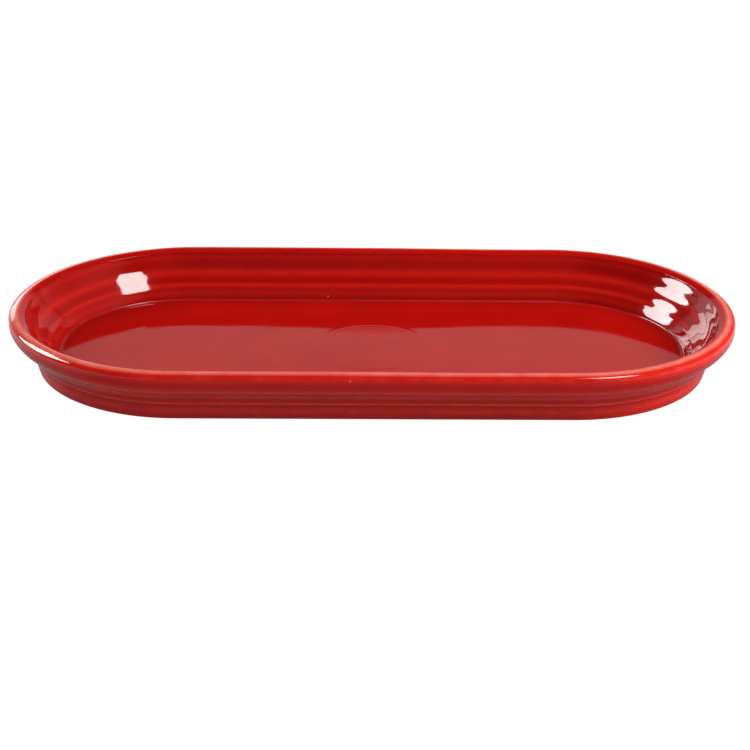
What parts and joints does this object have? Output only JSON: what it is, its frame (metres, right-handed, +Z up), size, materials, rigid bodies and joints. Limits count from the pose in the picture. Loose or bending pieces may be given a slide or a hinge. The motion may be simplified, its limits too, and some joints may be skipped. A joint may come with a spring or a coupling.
{
  "type": "bread tray",
  "caption": "Long shallow bread tray in glossy red glazed china, with straight sides, half-round ends, a rolled lip and graduated rings round the well.",
  "frame": {"origin": "middle of the foot ring, on the table the tray stands on", "axes": "+X along the tray, +Y across it, +Z up out of the well"},
  "size_m": [0.305, 0.146, 0.0243],
  "materials": {
    "bare_china": "matte",
    "red_glaze": "gloss"
  },
  "bodies": {
    "root": {"china_body": "bare_china", "red_glaze": "red_glaze", "base_glaze": "red_glaze"}
  },
  "joints": []
}
